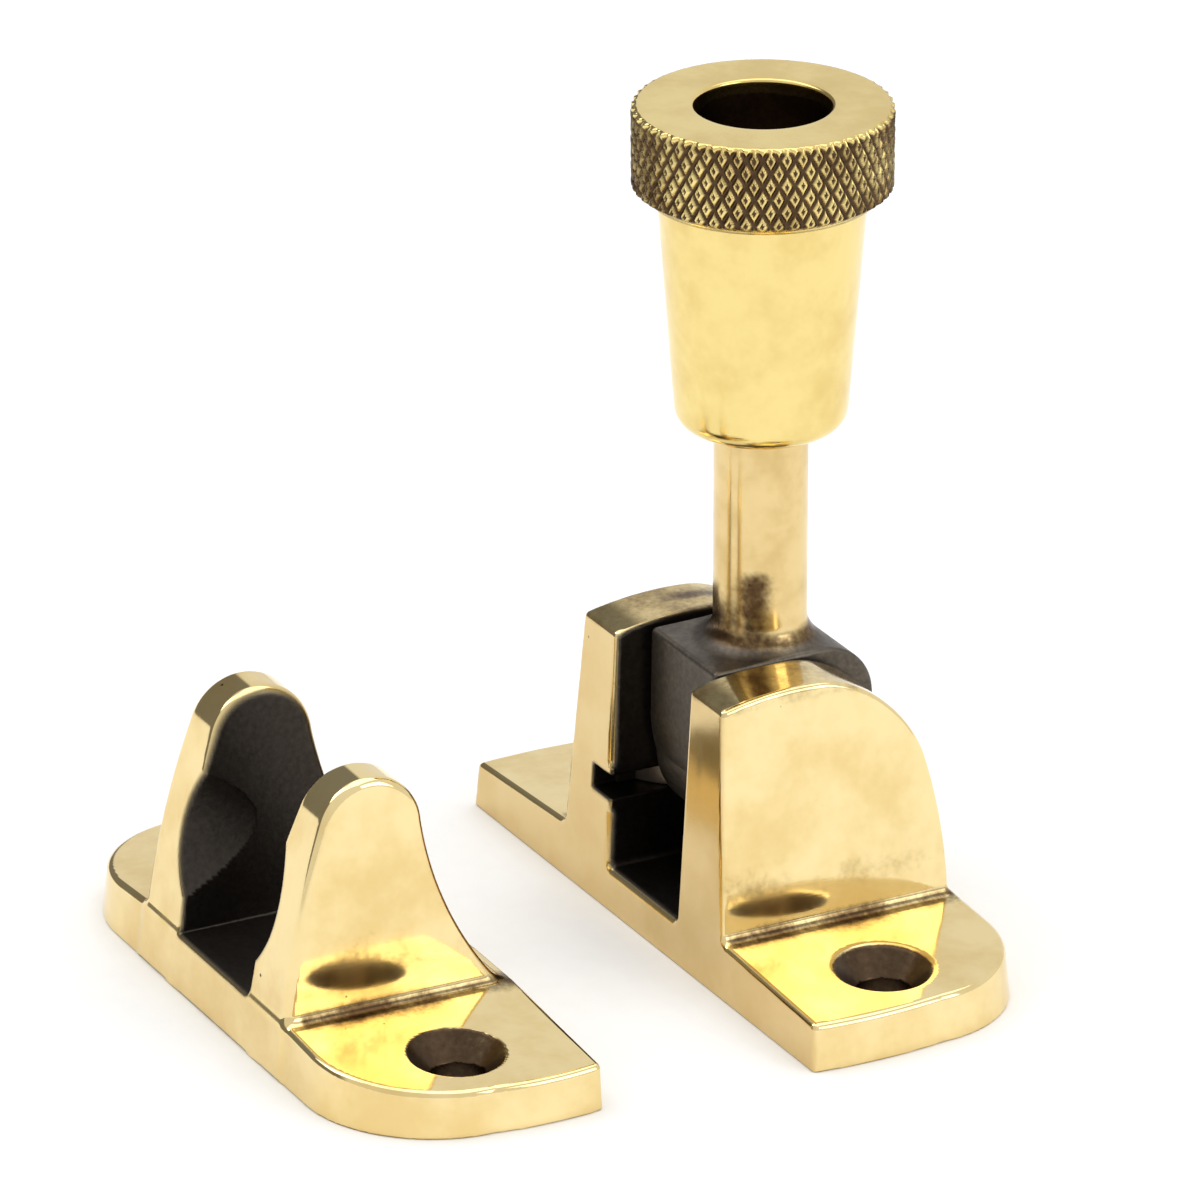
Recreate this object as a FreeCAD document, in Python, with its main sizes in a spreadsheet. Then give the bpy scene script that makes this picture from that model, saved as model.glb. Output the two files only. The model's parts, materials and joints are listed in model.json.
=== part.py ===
"""Brighton-pattern sash fastener with its forked keeper, in millimetres.

The fastener casting carries a swinging screw arm between two cheeks. The arm's nut drops into
the keeper's fork and is screwed down on the conical seat there, which draws two sashes together.

The origin is the middle of the fastener's two-screw pattern, on its underside. +X runs along the
screw line, +Y points from the keeper towards the fastener and +Z is up.
"""

import FreeCAD, Part
import math
import os

import Sketcher

SIZES = {
    # Both castings
    "plate_length": 55.8,
    "screw_spacing": 44.0,
    "screw_hole_radius": 2.2,
    "countersink_radius": 4.3,
    "countersink_depth": 2.3,
    "plate_draft": 6.0,
    # Fastener casting
    "base_depth": 21.2,
    "base_screw_setback": 9.8,
    "base_end_thickness": 3.86,
    "base_middle_thickness": 4.6,
    "base_corner_radius": 9.5,
    "base_side_bow": 0.5,
    "base_front_lean": 2.73,
    "cheek_foot_half_width": 13.2,
    "cheek_side_lean": 5.36,
    "cheek_front_height": 23.33,
    "cheek_top_height": 24.14,
    "cheek_crown_length": 15.4,
    "cheek_crown_drop": 1.0,
    "cheek_crown_radius": 28.4,
    "cheek_shoulder_setback": 2.9,
    "cheek_shoulder_drop": 5.6,
    "cheek_shoulder_radius": 5.2,
    "cheek_back_radius": 42.0,
    "cheek_back_setback": 0.6,
    "facing_allowance": 1.0,
    "mouth_rounding": 0.8,
    "channel_half_width": 5.6,
    "channel_side_lean": 1.1,
    "channel_floor": 3.6,
    "groove_floor": 8.75,
    "groove_bottom": 9.33,
    "groove_height": 1.97,
    "groove_length": 15.6,
    # Pivot
    "pivot_height": 13.5,
    "pivot_setback": 10.7,
    "pin_radius": 1.9,
    "pin_running_clearance": 0.05,
    "pin_far_end": 11.0,
    "pin_near_end": 12.1,
    # Swing arm
    "block_side_clearance": 0.3,
    "block_front_reach": 7.0,
    "block_back_reach": 7.9,
    "block_sweep_radius": 6.5,
    "block_top_rise": 10.45,
    "block_edge_rounding": 0.45,
    "block_front_lean": 0.1,
    "block_front_drop": 0.2,
    "block_chin_rise": 2.9,
    "block_chin_drop": 0.2,
    "block_chin_radius": 12.0,
    "block_shoulder_reach": 3.6,
    "block_shoulder_drop": 3.0,
    "block_shoulder_radius": 4.2,
    "block_back_lean": 0.7,
    "block_back_drop": 0.6,
    "heel_length": 4.4,
    "heel_drop": 6.55,
    "heel_clearance": 0.05,
    "shank_radius": 3.72,
    "shank_root_rounding": 2.0,
    "shank_root_sink": 0.1,
    "shank_root_depth": 1.5,
    "shoulder_height": 44.6,
    "shoulder_chamfer": 0.7,
    "stem_radius": 3.0,
    "stem_top": 61.8,
    # Thumb nut
    "nut_bottom": 41.7,
    "nut_end_radius": 6.7,
    "nut_end_rounding": 1.8,
    "barrel_top_radius": 8.19,
    "collar_bottom": 60.96,
    "collar_top": 68.3,
    "collar_radius": 10.24,
    "collar_foot_chamfer": 0.9,
    "collar_top_chamfer": 0.25,
    "nut_bore_clearance": 0.13,
    "web_bottom": 52.0,
    "web_top": 58.0,
    "thread_clearance": 0.05,
    "counterbore_radius": 5.375,
    # Stop washer and its screw
    "washer_thickness": 0.8,
    "washer_outer_clearance": 0.3,
    "washer_bore_clearance": 0.1,
    "stop_screw_radius": 1.5,
    "stop_screw_length": 7.0,
    "stop_screw_tip_gap": 0.5,
    "stop_screw_head_radius": 3.9,
    "stop_screw_head_height": 1.5,
    "stop_screw_head_chamfer": 0.3,
    "stop_screw_slot_width": 0.9,
    "stop_screw_slot_depth": 0.8,
    # Leaf spring
    "spring_thickness": 0.4,
    "spring_height": 1.8,
    "spring_tab": 1.6,
    "spring_rub_gap": 0.05,
    "spring_setback": 1.9,
    "spring_end_gap": 1.5,
    # Keeper casting
    "keeper_depth": 19.6,
    "keeper_screw_setback": 9.3,
    "keeper_edge_thickness": 3.73,
    "keeper_middle_thickness": 4.63,
    "keeper_corner_radius": 10.5,
    "keeper_side_bow": 0.4,
    "fork_foot_half_width": 12.84,
    "fork_side_lean": 3.0,
    "fork_slot_half_width": 6.2,
    "fork_slot_lean": 4.6,
    "fork_front_setback": 3.75,
    "fork_nose_setback": 0.1,
    "fork_nose_radius": 70.0,
    "fork_crown_start": 20.33,
    "fork_crown_length": 8.55,
    "fork_crown_drop": 0.59,
    "fork_crown_radius": 4.42,
    "fork_flare_radius": 28.6,
    "fork_flare_setback": 0.3,
    "seat_mouth_radius": 8.75,
    "seat_mouth_length": 1.0,
    "seat_end_radius": 6.85,
    "seat_depth": 7.2,
    # Where the keeper lies beside the fastener before the sashes meet
    "keeper_offset_across": -2.1,
    "keeper_offset_along": -36.35,
    "keeper_turn": -0.98,
}

doc = FreeCAD.newDocument("sash_fastener")
sheet = doc.addObject("Spreadsheet::Sheet", "sizes")
for row, (alias, number) in enumerate(SIZES.items(), start=1):
    sheet.set(f"A{row}", alias)
    sheet.set(f"B{row}", str(number))
    sheet.setAlias(f"B{row}", alias)
doc.recompute()


class Size:
    """A length or angle that keeps the sheet expression it was worked out from."""

    def __init__(self, value, text):
        self.value = float(value)
        self.text = text

    def __add__(self, other):
        other = as_size(other)
        return Size(self.value + other.value, f"({self.text} + {other.text})")

    def __sub__(self, other):
        other = as_size(other)
        return Size(self.value - other.value, f"({self.text} - {other.text})")

    def __mul__(self, other):
        other = as_size(other)
        return Size(self.value * other.value, f"({self.text} * {other.text})")

    def __truediv__(self, other):
        other = as_size(other)
        return Size(self.value / other.value, f"({self.text} / {other.text})")

    def __neg__(self):
        return Size(-self.value, f"(0 - {self.text})")

    def __radd__(self, other):
        return as_size(other) + self

    def __rsub__(self, other):
        return as_size(other) - self

    def __rmul__(self, other):
        return as_size(other) * self


def as_size(item):
    """A plain number becomes a Size whose expression is that number."""
    return item if isinstance(item, Size) else Size(item, f"({float(item)})")


def size(alias):
    """The Size of one cell of the sheet."""
    return Size(sheet.get(alias), f"sizes.{alias}")


def tangent(angle):
    """The tangent of an angle in degrees."""
    return Size(math.tan(math.radians(angle.value)), f"tan({angle.text} * 1 deg)")


def slope_angle(slope):
    """The angle in degrees whose tangent is a slope."""
    return Size(math.degrees(math.atan(slope.value)), f"(atan({slope.text}) / 1 deg)")


def bind(thing, place, item):
    """Ties one property or constraint of a document object to the sheet."""
    thing.setExpression(place, as_size(item).text)


class Line:
    """The straight stretch of an outline that ends at a point."""

    def __init__(self, across, up):
        self.end = (as_size(across), as_size(up))


class Arc(Line):
    """The round stretch that ends at a point; a left-hand turn bows to the right of the travel."""

    def __init__(self, across, up, radius, left_hand=True):
        super().__init__(across, up)
        self.radius = as_size(radius)
        self.left_hand = left_hand


def start_sketch(body, role, name, offset=None):
    """A sketch on one of the body's own origin planes, shifted along the plane's normal."""
    sketch = body.newObject("Sketcher::SketchObject", name)
    planes = [plane for plane in body.Origin.OriginFeatures if plane.Role == role]
    sketch.AttachmentSupport = [(planes[0], "")]
    sketch.MapMode = "FlatFace"
    if offset is not None:
        bind(sketch, "AttachmentOffset.Base.z", offset)
    return sketch


def hold_point(sketch, geometry, vertex, point):
    """Fixes a sketch vertex at bound distances from the sketch's origin."""
    for kind, coordinate in zip(("DistanceX", "DistanceY"), point):
        constraint = Sketcher.Constraint(kind, -1, 1, geometry, vertex, coordinate.value)
        index = sketch.addConstraint(constraint)
        bind(sketch, f"Constraints[{index}]", coordinate)


def arc_geometry(start, stretch):
    """The circle arc from start to the stretch's end, and whether the sketch runs it backwards."""
    first = FreeCAD.Vector(start[0].value, start[1].value, 0)
    last = FreeCAD.Vector(stretch.end[0].value, stretch.end[1].value, 0)
    chord = last - first
    side = 1 if stretch.left_hand else -1
    radius = stretch.radius.value
    reach = math.sqrt(radius**2 - (chord.Length / 2) ** 2)
    normal = FreeCAD.Vector(-chord.y, chord.x, 0).normalize()
    centre = (first + last) / 2 + normal * reach * side
    circle = Part.Circle(centre, FreeCAD.Vector(0, 0, 1), radius)
    ends = (first, last) if stretch.left_hand else (last, first)
    angles = [math.atan2(end.y - centre.y, end.x - centre.x) for end in ends]
    return Part.ArcOfCircle(circle, angles[0], angles[1]), not stretch.left_hand


def outline(sketch, stretches):
    """A closed outline: each stretch starts where the one before it ends."""
    heads = []
    tails = []
    previous = stretches[-1].end
    for stretch in stretches:
        backwards = False
        if isinstance(stretch, Arc):
            shape, backwards = arc_geometry(previous, stretch)
            index = sketch.addGeometry(shape, False)
            constraint = Sketcher.Constraint("Radius", index, stretch.radius.value)
            bind(sketch, f"Constraints[{sketch.addConstraint(constraint)}]", stretch.radius)
        else:
            first = FreeCAD.Vector(previous[0].value, previous[1].value, 0)
            last = FreeCAD.Vector(stretch.end[0].value, stretch.end[1].value, 0)
            index = sketch.addGeometry(Part.LineSegment(first, last), False)
        heads.append((index, 2 if backwards else 1))
        tails.append((index, 1 if backwards else 2))
        previous = stretch.end
    for (index, vertex), following in zip(tails, heads[1:] + heads[:1]):
        sketch.addConstraint(Sketcher.Constraint("Coincident", index, vertex, *following))
    for (index, vertex), stretch in zip(tails, stretches):
        hold_point(sketch, index, vertex, stretch.end)
    return sketch


def disc(sketch, across, up, radius):
    """A full circle in a sketch."""
    centre = (as_size(across), as_size(up))
    radius = as_size(radius)
    middle = FreeCAD.Vector(centre[0].value, centre[1].value, 0)
    circle = Part.Circle(middle, FreeCAD.Vector(0, 0, 1), radius.value)
    index = sketch.addGeometry(circle, False)
    constraint = Sketcher.Constraint("Radius", index, radius.value)
    bind(sketch, f"Constraints[{sketch.addConstraint(constraint)}]", radius)
    hold_point(sketch, index, 3, centre)
    return sketch


def new_body(name):
    """A body whose Label names its node and its file."""
    body = doc.addObject("PartDesign::Body", name)
    body.Label = name
    doc.recompute()
    return body


def raise_or_cut(body, kind, sketch, length=None, symmetric=False, backwards=False, draft=None):
    """A Pad or Pocket from a sketch; a Pocket with no length cuts right through, both ways."""
    feature = body.newObject(f"PartDesign::{kind}", f"{sketch.Name}_{kind.lower()}")
    feature.Profile = sketch
    if length is None:
        feature.Type = "ThroughAll"
        feature.SideType = "Symmetric"
    else:
        bind(feature, "Length", length)
        feature.SideType = "Symmetric" if symmetric else "One side"
    feature.Reversed = backwards
    if draft is not None:
        bind(feature, "TaperAngle", draft)
    volume = body.Shape.Volume if body.Tip and body.Shape.Solids else 0.0
    doc.recompute()
    changed = feature.Shape.Volume - volume
    if (changed <= 0) == (kind == "Pad"):
        raise ValueError(f"{feature.Name} changed the volume by {changed}")
    return feature


def turn(body, sketch, kind="Revolution"):
    """A full turn of a sketch about its own upright axis."""
    feature = body.newObject(f"PartDesign::{kind}", f"{sketch.Name}_{kind.lower()}")
    feature.Profile = sketch
    feature.ReferenceAxis = (sketch, ["V_Axis"])
    feature.Angle = 360
    doc.recompute()
    return feature


def edges_where(shape, wanted):
    """The names of the edges whose start, middle and end all satisfy a test."""
    names = []
    for number, edge in enumerate(shape.Edges, start=1):
        middle = (edge.FirstParameter + edge.LastParameter) / 2
        places = (edge.FirstParameter, middle, edge.LastParameter)
        if all(wanted(edge.valueAt(place)) for place in places):
            names.append(f"Edge{number}")
    return names


def round_edges(body, name, radius, wanted):
    """A fillet on the edges of the body that satisfy a test."""
    shape = body.Tip.Shape
    names = edges_where(shape, wanted)
    if not names:
        raise ValueError(f"{name} found no edges")
    base = body.Tip
    feature = body.newObject("PartDesign::Fillet", name)
    feature.Base = (base, names)
    bind(feature, "Radius", radius)
    doc.recompute()
    return feature


# Driving sizes under short names
half_length = size("plate_length") / 2
base_front = -size("base_screw_setback")
base_back = size("base_depth") - size("base_screw_setback")
pivot_along = size("pivot_setback") - size("base_screw_setback")
pivot_up = size("pivot_height")
front_slope = tangent(size("base_front_lean"))
cheek_slope = tangent(size("cheek_side_lean"))
channel_slope = tangent(size("channel_side_lean"))
fork_slope = tangent(size("fork_side_lean"))
slot_slope = tangent(size("fork_slot_lean"))
block_half_width = size("channel_half_width") - size("block_side_clearance")
nut_bore = size("shank_radius") + size("nut_bore_clearance")

MARGIN = 6.0  # how far a cutting outline runs past the metal it cuts
CLEAR = 1.0  # how far it runs past a face that is close to other metal
NEAR = 0.05  # how close a point lies to a face that it is said to be on
HEEL_START = 0.3  # how far behind the pivot the arm's heel and the step under it begin


def screw_holes(body, prefix, setback, thickness, front):
    """Two countersunk screw holes on a line parallel to the straight edge."""
    for side, word in ((-1, "left"), (1, "right")):
        across = size("screw_spacing") / 2 * side
        along = front + setback
        bore = start_sketch(body, "XY_Plane", f"{prefix}_{word}_bore")
        disc(bore, across, along, size("screw_hole_radius"))
        raise_or_cut(body, "Pocket", bore)
        mouth = start_sketch(body, "XY_Plane", f"{prefix}_{word}_sink", thickness)
        disc(mouth, across, along, size("countersink_radius"))
        narrowing = size("countersink_radius") - size("screw_hole_radius")
        angle = slope_angle(narrowing / size("countersink_depth"))
        raise_or_cut(body, "Pocket", mouth, size("countersink_depth"), draft=-angle)


def plate_outline(sketch, back, corner, bow, front):
    """The plan of a plate: a straight edge with sharp corners, bowed ends and two round corners.

    front is the y of the straight edge and back the y of the far one, on either side of it.
    """
    away = 1 if back.value > front.value else -1
    depth = (back - front) * away
    end_chord = depth - corner
    # A bow of this height on the end's chord gives the circle that the end is part of.
    end_radius = end_chord * end_chord / (8 * bow) + bow / 2
    left_hand = away > 0
    outline(
        sketch,
        [
            Line(half_length, front),
            Arc(half_length, back - corner * away, end_radius, left_hand),
            Arc(half_length - corner, back, corner, left_hand),
            Line(corner - half_length, back),
            Arc(-half_length, back - corner * away, corner, left_hand),
            Arc(-half_length, front, end_radius, left_hand),
        ],
    )
    return sketch


def slope_plate(body, name, end_thickness, middle_thickness, foot_half_width):
    """Takes the wedge off the top of each wing, so that the plate thins towards its ends."""
    reach = half_length + MARGIN
    drop = (middle_thickness - end_thickness) / (half_length - foot_half_width)
    for side, word in ((-1, "left"), (1, "right")):
        wedge = start_sketch(body, "XZ_Plane", f"{name}_{word}")
        outline(
            wedge,
            [
                Line(foot_half_width * side, middle_thickness),
                Line(reach * side, middle_thickness - drop * (reach - foot_half_width)),
                Line(reach * side, middle_thickness + CLEAR),
                Line(foot_half_width * side, middle_thickness + CLEAR),
            ],
        )
        raise_or_cut(body, "Pocket", wedge)


def make_fastener_base():
    """The fastener's casting: a plate with two cheeks, open between them from front to back."""
    body = new_body("fastener_base")
    top = size("cheek_top_height")
    foot = size("cheek_foot_half_width")
    middle = size("base_middle_thickness")
    over_top = top + MARGIN

    # The cheeks' front view, leaning in on both sides, as deep as the plate.
    front_view = start_sketch(body, "XZ_Plane", "cheek_front_view", -base_front)
    low = foot + cheek_slope * middle
    high = foot - cheek_slope * (over_top - middle)
    outline(front_view, [Line(low, 0), Line(high, over_top), Line(-high, over_top), Line(-low, 0)])
    raise_or_cut(body, "Pad", front_view, size("base_depth"), backwards=True)

    # The side view: what lies behind and above the crown is cut away.
    crown_front = base_front + front_slope * size("cheek_front_height")
    crown_end = base_front + size("cheek_crown_length")
    shoulder_end = base_back - size("cheek_shoulder_setback")
    back_end = base_back - size("cheek_back_setback")
    side_view = start_sketch(body, "YZ_Plane", "cheek_side_view")
    outline(
        side_view,
        [
            Line(base_front - MARGIN, size("cheek_front_height")),
            Line(crown_front, size("cheek_front_height")),
            Arc(crown_end, top - size("cheek_crown_drop"), size("cheek_crown_radius"), False),
            Arc(
                shoulder_end,
                top - size("cheek_shoulder_drop"),
                size("cheek_shoulder_radius"),
                False,
            ),
            Arc(back_end, middle, size("cheek_back_radius"), False),
            Line(base_back + MARGIN, middle),
            Line(base_back + MARGIN, over_top + MARGIN),
            Line(base_front - MARGIN, over_top + MARGIN),
        ],
    )
    raise_or_cut(body, "Pocket", side_view)

    # The plate's plan is its top face; its edges lean out from there down to the underside.
    plate = start_sketch(body, "XY_Plane", "base_plan", middle)
    forward = base_front - size("facing_allowance")
    plate_outline(plate, base_back, size("base_corner_radius"), size("base_side_bow"), forward)
    raise_or_cut(body, "Pad", plate, middle, backwards=True, draft=size("plate_draft"))
    slope_plate(body, "base_wedge", size("base_end_thickness"), middle, foot)

    # One leaning plane faces the plate and both cheeks at the front.
    facing = start_sketch(body, "YZ_Plane", "base_facing")
    outline(
        facing,
        [
            Line(base_front, 0),
            Line(base_front + front_slope * over_top, over_top),
            Line(base_front - MARGIN, over_top),
            Line(base_front - MARGIN, 0),
        ],
    )
    raise_or_cut(body, "Pocket", facing)

    # The channel between the cheeks, with a raised step behind the pivot for the arm's heel.
    step = pivot_up - size("heel_drop") - size("heel_clearance")
    front_floor = size("channel_floor")
    for name, floor, through in (("channel_rear", step, True), ("channel_front", front_floor, False)):
        wall_low = size("channel_half_width") + channel_slope * (floor - size("channel_floor"))
        wall_high = size("channel_half_width") + channel_slope * (over_top - size("channel_floor"))
        offset = None if through else -(pivot_along + HEEL_START)
        channel = start_sketch(body, "XZ_Plane", name, offset)
        outline(
            channel,
            [
                Line(wall_low, floor),
                Line(wall_high, over_top),
                Line(-wall_high, over_top),
                Line(-wall_low, floor),
            ],
        )
        if through:
            raise_or_cut(body, "Pocket", channel)
        else:
            raise_or_cut(body, "Pocket", channel, size("base_depth"), backwards=True)

    # The channel's front corners are rounded where the arm comes down.
    floor = size("channel_floor").value
    inner = size("channel_half_width").value
    mouth_back = (base_front + front_slope * over_top + NEAR).value
    round_edges(
        body,
        "mouth_corners",
        size("mouth_rounding"),
        lambda point: inner - NEAR < abs(point.x) < inner + CLEAR
        and floor - NEAR < point.z
        and point.y < mouth_back,
    )

    # The spring's groove, in the left cheek only, open at the front face.
    groove = start_sketch(body, "XZ_Plane", "spring_groove", -base_front)
    groove_top = size("groove_bottom") + size("groove_height")
    outline(
        groove,
        [
            Line(-size("channel_half_width") + CLEAR, size("groove_bottom")),
            Line(-size("channel_half_width") + CLEAR, groove_top),
            Line(-size("groove_floor"), groove_top),
            Line(-size("groove_floor"), size("groove_bottom")),
        ],
    )
    raise_or_cut(body, "Pocket", groove, size("groove_length"))

    # The pin's bore is open in the left cheek and blind in the right one.
    bore = start_sketch(body, "YZ_Plane", "pin_bore", size("pin_far_end"))
    disc(bore, pivot_along, pivot_up, size("pin_radius"))
    raise_or_cut(body, "Pocket", bore, half_length + size("pin_far_end"))

    screw_holes(body, "base", size("base_screw_setback"), size("base_middle_thickness"), base_front)
    return body


def make_keeper():
    """The keeper's casting: a plate with a fork whose slot ends in a conical seat at its front."""
    body = new_body("keeper")
    straight = size("keeper_depth")
    middle = size("keeper_middle_thickness")
    foot = size("fork_foot_half_width")
    crown_from = size("fork_crown_start")
    over_top = crown_from + MARGIN

    front_view = start_sketch(body, "XZ_Plane", "fork_front_view")
    low = foot + fork_slope * middle
    high = foot - fork_slope * (over_top - middle)
    outline(front_view, [Line(low, 0), Line(high, over_top), Line(-high, over_top), Line(-low, 0)])
    raise_or_cut(body, "Pad", front_view, straight, backwards=True)

    crown_along = size("fork_front_setback")
    crown_end = crown_along + size("fork_crown_length")
    crown_to = crown_from - size("fork_crown_drop")
    flare_end = straight - size("fork_flare_setback")
    side_view = start_sketch(body, "YZ_Plane", "fork_side_view")
    outline(
        side_view,
        [
            Line(-MARGIN, middle),
            Line(size("fork_nose_setback"), middle),
            Arc(crown_along, crown_from, size("fork_nose_radius"), False),
            Arc(crown_end, crown_to, size("fork_crown_radius"), False),
            Arc(flare_end, size("keeper_edge_thickness"), size("fork_flare_radius"), True),
            Line(straight + MARGIN, size("keeper_edge_thickness")),
            Line(straight + MARGIN, over_top + MARGIN),
            Line(-MARGIN, over_top + MARGIN),
        ],
    )
    raise_or_cut(body, "Pocket", side_view)

    plan = start_sketch(body, "XY_Plane", "keeper_plan", middle)
    zero = as_size(0)
    plate_outline(plan, zero, size("keeper_corner_radius"), size("keeper_side_bow"), straight)
    raise_or_cut(body, "Pad", plan, middle, backwards=True, draft=size("plate_draft"))
    slope_plate(body, "keeper_wedge", size("keeper_edge_thickness"), middle, foot)

    slot = start_sketch(body, "XZ_Plane", "fork_slot")
    wall_high = size("fork_slot_half_width") + slot_slope * (over_top - middle)
    outline(
        slot,
        [
            Line(size("fork_slot_half_width"), middle),
            Line(wall_high, over_top),
            Line(-wall_high, over_top),
            Line(-size("fork_slot_half_width"), middle),
        ],
    )
    raise_or_cut(body, "Pocket", slot)

    # The seat is turned about the line that the nut lies on when the arm is down.
    seat = start_sketch(body, "XY_Plane", "seat_section", pivot_up)
    outline(
        seat,
        [
            Line(0, -MARGIN),
            Line(size("seat_mouth_radius"), -MARGIN),
            Line(size("seat_mouth_radius"), size("seat_mouth_length")),
            Line(size("seat_end_radius"), size("seat_depth")),
            Line(0, size("seat_depth")),
        ],
    )
    turn(body, seat, "Groove")

    screw_holes(body, "keeper", -size("keeper_screw_setback"), size("keeper_middle_thickness"), straight)
    return body


def make_pivot_pin():
    """The pin that the arm swings on, pressed in from the left cheek."""
    body = new_body("pivot_pin")
    section = start_sketch(body, "YZ_Plane", "pin_section", -size("pin_near_end"))
    disc(section, pivot_along, pivot_up, size("pin_radius"))
    raise_or_cut(body, "Pad", section, size("pin_near_end") + size("pin_far_end"))
    return body


def make_leaf_spring():
    """A bowed steel strip: its tabs lie on the groove's floor and its crest rubs on the arm."""
    body = new_body("leaf_spring")
    floor = -size("groove_floor")
    crest = -(block_half_width + size("spring_rub_gap"))
    thick = size("spring_thickness")
    tab = size("spring_tab")
    middle = pivot_along - size("spring_setback")
    half_span = size("groove_length") / 2 - size("spring_end_gap")
    half_chord = half_span - tab
    rise = crest - thick - floor
    bow_radius = half_chord * half_chord / (2 * rise) + rise / 2
    lift = size("groove_bottom") + (size("groove_height") - size("spring_height")) / 2
    strip = start_sketch(body, "XY_Plane", "spring_plan", lift)
    outline(
        strip,
        [
            Line(floor, middle - half_span),
            Line(floor + thick, middle - half_span),
            Line(floor + thick, middle - half_chord),
            Arc(floor + thick, middle + half_chord, bow_radius, True),
            Line(floor + thick, middle + half_span),
            Line(floor, middle + half_span),
            Line(floor, middle + half_chord),
            Arc(floor, middle - half_chord, bow_radius, False),
        ],
    )
    raise_or_cut(body, "Pad", strip, size("spring_height"))
    return body


def make_swing_arm():
    """The arm: a cheek-wide block on the pin, a round shank and a threaded stem for the nut."""
    body = new_body("swing_arm")
    top = pivot_up + size("block_top_rise")
    front = pivot_along - size("block_front_reach")
    sweep = size("block_sweep_radius")
    heel = pivot_up - size("heel_drop")
    heel_end = pivot_along + size("heel_length")
    back = pivot_along + size("block_back_reach")
    shoulder_along = pivot_along + size("block_shoulder_reach")
    shoulder_foot = top - size("block_shoulder_drop")
    chin = pivot_up - size("block_chin_drop")
    side_view = start_sketch(body, "YZ_Plane", "block_side_view")
    outline(
        side_view,
        [
            Line(pivot_along + HEEL_START, heel),
            Line(heel_end, heel),
            Arc(back, pivot_up - size("block_back_drop"), size("block_back_reach"), True),
            Line(back - size("block_back_lean"), shoulder_foot),
            Arc(shoulder_along, top, size("block_shoulder_radius"), True),
            Line(front + size("block_front_lean"), top - size("block_front_drop")),
            Line(front, pivot_up + size("block_chin_rise")),
            Arc(pivot_along - sweep, chin, size("block_chin_radius"), True),
            Arc(pivot_along, pivot_up - sweep, sweep, True),
        ],
    )
    raise_or_cut(body, "Pad", side_view, block_half_width * 2, symmetric=True)
    round_edges(
        body,
        "block_top_rounding",
        size("block_edge_rounding"),
        lambda point: point.z > shoulder_foot.value - NEAR and point.y > front.value - NEAR,
    )

    shank = size("shank_radius")
    root = size("shank_root_rounding")
    root_bottom = top - size("shank_root_depth")
    root_top = top - size("shank_root_sink")
    section = start_sketch(body, "XZ_Plane", "shank_section", -pivot_along)
    outline(
        section,
        [
            Line(0, root_bottom),
            Line(shank + root, root_bottom),
            Line(shank + root, root_top),
            Arc(shank, root_top + root, root, False),
            Line(shank, size("shoulder_height")),
            Line(size("stem_radius"), size("shoulder_height") + size("shoulder_chamfer")),
            Line(size("stem_radius"), size("stem_top")),
            Line(0, size("stem_top")),
        ],
    )
    turn(body, section)

    tapped = start_sketch(body, "XY_Plane", "stop_screw_bore", size("stem_top"))
    disc(tapped, 0, pivot_along, size("stop_screw_radius"))
    raise_or_cut(body, "Pocket", tapped, size("stop_screw_length"))
    cross = start_sketch(body, "YZ_Plane", "arm_bore")
    disc(cross, pivot_along, pivot_up, size("pin_radius") + size("pin_running_clearance"))
    raise_or_cut(body, "Pocket", cross)
    return body


def make_thumb_nut():
    """The nut: a tapered barrel under a wide knurled collar, bored from both ends to its thread."""
    body = new_body("thumb_nut")
    bottom = size("nut_bottom")
    rounding = size("nut_end_rounding")
    taper = (size("barrel_top_radius") - size("nut_end_radius")) / (size("collar_bottom") - bottom)
    end = size("nut_end_radius") + taper * rounding
    foot = size("collar_foot_chamfer")
    lip = size("collar_top_chamfer")
    collar = size("collar_radius")
    thread = size("stem_radius") + size("thread_clearance")
    section = start_sketch(body, "XZ_Plane", "nut_section", -pivot_along)
    outline(
        section,
        [
            Line(nut_bore, bottom),
            Line(end - rounding, bottom),
            Arc(end, bottom + rounding, rounding, True),
            Line(size("barrel_top_radius"), size("collar_bottom")),
            Line(collar - foot, size("collar_bottom")),
            Line(collar, size("collar_bottom") + foot),
            Line(collar, size("collar_top") - lip),
            Line(collar - lip, size("collar_top")),
            Line(size("counterbore_radius"), size("collar_top")),
            Line(size("counterbore_radius"), size("web_top")),
            Line(thread, size("web_top")),
            Line(thread, size("web_bottom")),
            Line(nut_bore, size("web_bottom")),
        ],
    )
    turn(body, section)
    return body


def make_stop_washer():
    """The loose washer on the counterbore's floor, which the stop screw's head catches."""
    body = new_body("stop_washer")
    plan = start_sketch(body, "XY_Plane", "washer_plan", size("web_top"))
    disc(plan, 0, pivot_along, size("counterbore_radius") - size("washer_outer_clearance"))
    disc(plan, 0, pivot_along, size("stem_radius") + size("washer_bore_clearance"))
    raise_or_cut(body, "Pad", plan, size("washer_thickness"))
    return body


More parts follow.
